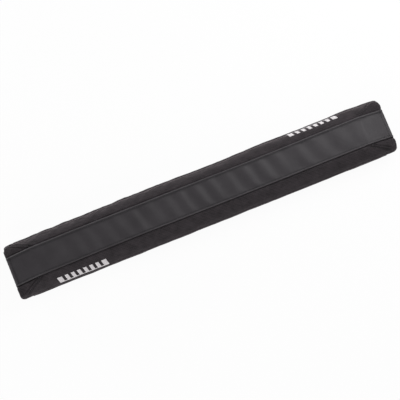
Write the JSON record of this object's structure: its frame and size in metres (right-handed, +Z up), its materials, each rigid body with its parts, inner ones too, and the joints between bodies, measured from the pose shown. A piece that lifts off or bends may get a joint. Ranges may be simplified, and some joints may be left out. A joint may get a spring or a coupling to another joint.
{
  "type": "roof rack pad",
  "caption": "Long foam pad in a sewn black cover that wraps round a roof rack crossbar and closes underneath with hook and loop flaps, to cushion boards and boats",
  "frame": {"origin": "middle of the flat underside that the closed sleeve lies on", "axes": "+X along the crossbar, +Y across it to the rear, +Z up away from the bar"},
  "size_m": [0.7502, 0.106, 0.0529],
  "materials": {
    "foam": "matte closed-cell foam",
    "wear_fabric": "coated, soft sheen",
    "woven_fabric": "matte weave",
    "grip_liner": "matte dotted grip",
    "binding_tape": "matte ribbed tape",
    "hook_tape": "stiff nylon hooks",
    "loop_tape": "napped loops",
    "reflective_film": "pale grey retroreflective"
  },
  "bodies": {
    "root": {"foam_core": "foam", "top_panel": "wear_fabric", "side_panel_front": "woven_fabric", "side_panel_rear": "woven_fabric", "bar_liner": "grip_liner", "end_binding_left": "binding_tape", "end_binding_right": "binding_tape", "closure_flap_outer": "woven_fabric", "closure_flap_inner": "woven_fabric", "hook_strip": "hook_tape", "loop_strip": "loop_tape", "reflective_mark_rear": "reflective_film", "reflective_mark_front": "reflective_film"}
  },
  "joints": []
}
